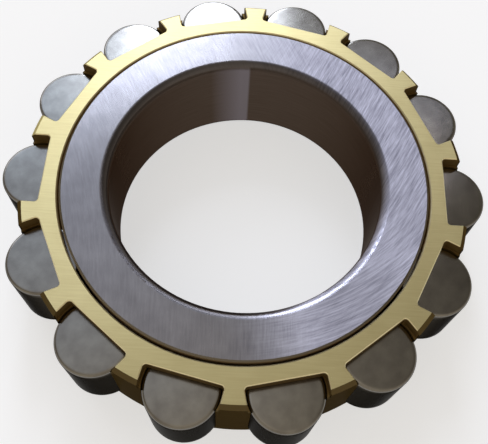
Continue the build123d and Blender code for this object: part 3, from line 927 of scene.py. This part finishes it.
rivet_tree, given = new_shape_tree("ring_of_rivets", {
    "Count": "NodeSocketInt", "Pitch Radius": "NodeSocketFloat", "Shank Radius": "NodeSocketFloat",
    "Countersink": "NodeSocketFloat", "Head Radius": "NodeSocketFloat", "Head Height": "NodeSocketFloat",
    "Cage Face": "NodeSocketFloat", "Dent Depth": "NodeSocketFloat", "Seed": "NodeSocketInt",
    "Steps Around": "NodeSocketInt", "Brass": "NodeSocketMaterial"})
tree = rivet_tree
face, shank, head = given["Cage Face"], given["Shank Radius"], given["Head Radius"]
rear = add(tree, "ShaderNodeMath", {0: face, 1: -1.0}, operation="MULTIPLY").outputs[0]
flush_radius = add(tree, "ShaderNodeMath", {0: shank, 1: given["Countersink"]}, operation="ADD").outputs[0]
neck = add(tree, "ShaderNodeMath", {0: face, 1: given["Countersink"]}, operation="SUBTRACT").outputs[0]
crown = add(tree, "ShaderNodeMath", {0: rear, 1: given["Head Height"]}, operation="SUBTRACT").outputs[0]
outline = outline_through(tree, [
    (0, face), (flush_radius, face), (shank, neck), (shank, rear), (head, rear), (0, crown)])
divided = add(tree, "GeometryNodeSubdivideCurve", {"Curve": outline, "Cuts": HEAD_CUTS}).outputs[0]

point = add(tree, "ShaderNodeSeparateXYZ", {0: add(tree, "GeometryNodeInputPosition").outputs[0]}).outputs
below_face = add(tree, "ShaderNodeMath", {0: point["Y"], 1: face}, operation="SUBTRACT").outputs[0]
in_head = add(tree, "ShaderNodeMath", {0: below_face, 1: FACE_MARGIN}, operation="GREATER_THAN").outputs[0]
out_share = add(tree, "ShaderNodeMath", {0: point["X"], 1: head}, operation="DIVIDE").outputs[0]
out_square = add(tree, "ShaderNodeMath", {0: out_share, 1: 2.0}, operation="POWER").outputs[0]
rise_share = add(tree, "ShaderNodeMath", {0: 1.0, 1: out_square}, operation="SUBTRACT").outputs[0]
dome = add(tree, "ShaderNodeMath", {0: rise_share, 1: given["Head Height"], 2: face},
           operation="MULTIPLY_ADD").outputs[0]
domed_point = add(tree, "ShaderNodeCombineXYZ", {"X": point["X"], "Y": dome}).outputs[0]
domed = add(tree, "GeometryNodeSetPosition", {
    "Geometry": divided, "Selection": in_head, "Position": domed_point}).outputs[0]
blank = spun(tree, domed, given["Steps Around"])
print("outline with", HEAD_CUTS, "cuts between two corners")

# %% Rivet tree: dents in the head
DENT_WIDTH = 0.9 * MM

place = add(tree, "GeometryNodeInputPosition").outputs[0]
place_xyz = add(tree, "ShaderNodeSeparateXYZ", {0: place}).outputs
dent = add(tree, "ShaderNodeTexNoise", {
    "Vector": place, "Scale": 1 / DENT_WIDTH, "Detail": 1.0}).outputs["Fac"]
dent_depth = add(tree, "ShaderNodeMath", {0: dent, 1: given["Dent Depth"]}, operation="MULTIPLY").outputs[0]
side = add(tree, "ShaderNodeMath", {0: place_xyz["Z"]}, operation="SIGN").outputs[0]
outwards = add(tree, "ShaderNodeMath", {0: side, 1: dent_depth}, operation="MULTIPLY").outputs[0]
inwards = add(tree, "ShaderNodeMath", {0: outwards, 1: -1.0}, operation="MULTIPLY").outputs[0]
distance = add(tree, "ShaderNodeMath", {0: place_xyz["Z"]}, operation="ABSOLUTE").outputs[0]
past_face = add(tree, "ShaderNodeMath", {0: distance, 1: face}, operation="SUBTRACT").outputs[0]
struck = add(tree, "ShaderNodeMath", {0: past_face, 1: FACE_MARGIN}, operation="GREATER_THAN").outputs[0]
struck_by = add(tree, "ShaderNodeCombineXYZ", {"Z": inwards}).outputs[0]
dented = add(tree, "GeometryNodeSetPosition", {
    "Geometry": blank, "Selection": struck, "Offset": struck_by}).outputs[0]
marked = add(tree, "GeometryNodeStoreNamedAttribute", {
    "Geometry": dented, "Name": "own_place", "Value": place},
    data_type="FLOAT_VECTOR", domain="POINT").outputs[0]
at_front = add(tree, "ShaderNodeMath", {0: place_xyz["Z"], 1: 0.0}, operation="GREATER_THAN").outputs[0]
crisp = add(tree, "GeometryNodeSetShadeSmooth", {
    "Geometry": marked, "Selection": at_front, "Shade Smooth": False}).outputs[0]
print(f"dents {DENT_WIDTH / MM:.1f} mm wide")

# %% Rivet tree: round the cage
ring = add(tree, "GeometryNodeCurvePrimitiveCircle", {
    "Resolution": given["Count"], "Radius": given["Pitch Radius"]}).outputs[0]
half_step = add(tree, "ShaderNodeMath", {0: math.pi, 1: given["Count"]}, operation="DIVIDE").outputs[0]
half_turn = add(tree, "ShaderNodeCombineXYZ", {"Z": half_step}).outputs[0]
bars = add(tree, "GeometryNodeTransform", {"Geometry": ring, "Rotation": half_turn}).outputs[0]
any_turn = add(tree, "FunctionNodeRandomValue", {"Min": 0.0, "Max": 2 * math.pi, "Seed": given["Seed"]},
               data_type="FLOAT")
spin = next(socket for socket in any_turn.outputs if socket.enabled)
own_turn = add(tree, "ShaderNodeCombineXYZ", {"Z": spin}).outputs[0]
copies = add(tree, "GeometryNodeInstanceOnPoints", {
    "Points": bars, "Instance": crisp, "Rotation": own_turn}).outputs[0]
real = add(tree, "GeometryNodeRealizeInstances", {"Geometry": copies}).outputs[0]
finished = add(tree, "GeometryNodeSetMaterial", {"Geometry": real, "Material": given["Brass"]}).outputs[0]
add(tree, "NodeGroupOutput", {0: finished})
print(tree.name, "has", len(tree.nodes), "nodes")

# %% Rivets in the bars
SHANK_RADIUS = 1.75 * MM
COUNTERSINK = 0.645 * MM      # wide enough to close the clearance round the shank at the face
HEAD_RADIUS = 2.85 * MM
DENT_DEPTH = 0.08 * MM
RIVET_SEED = 5
RIVET_STEPS = 40

rivet_names = sorted(name for name in frame["nodes"] if name.startswith("cage_rivet_"))
rivet_low, rivet_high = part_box(rivet_names[0])
rivet_head_height = -cage_face - rivet_low.z
rivet_middle = (rivet_low + rivet_high) / 2
rivets = made_by(rivet_tree, "peened_rivets", {
    "Count": len(rivet_names), "Pitch Radius": rivet_middle.xy.length, "Shank Radius": SHANK_RADIUS,
    "Countersink": COUNTERSINK, "Head Radius": HEAD_RADIUS, "Head Height": rivet_head_height,
    "Cage Face": cage_face, "Dent Depth": DENT_DEPTH, "Seed": RIVET_SEED, "Steps Around": RIVET_STEPS,
    "Brass": rivet_brass})
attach(rivets, "cage")
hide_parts(*rivet_names)
print(f"{len(rivet_names)} rivets, {len(rivets.data.polygons)} faces, "
      f"heads {rivet_head_height / MM:.1f} mm high")

# %% [markdown]
# ## Size of the finished model
# The outer size of the finished model is measured over every shown piece but the floor.

# %% Sizes of the finished model
low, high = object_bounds()
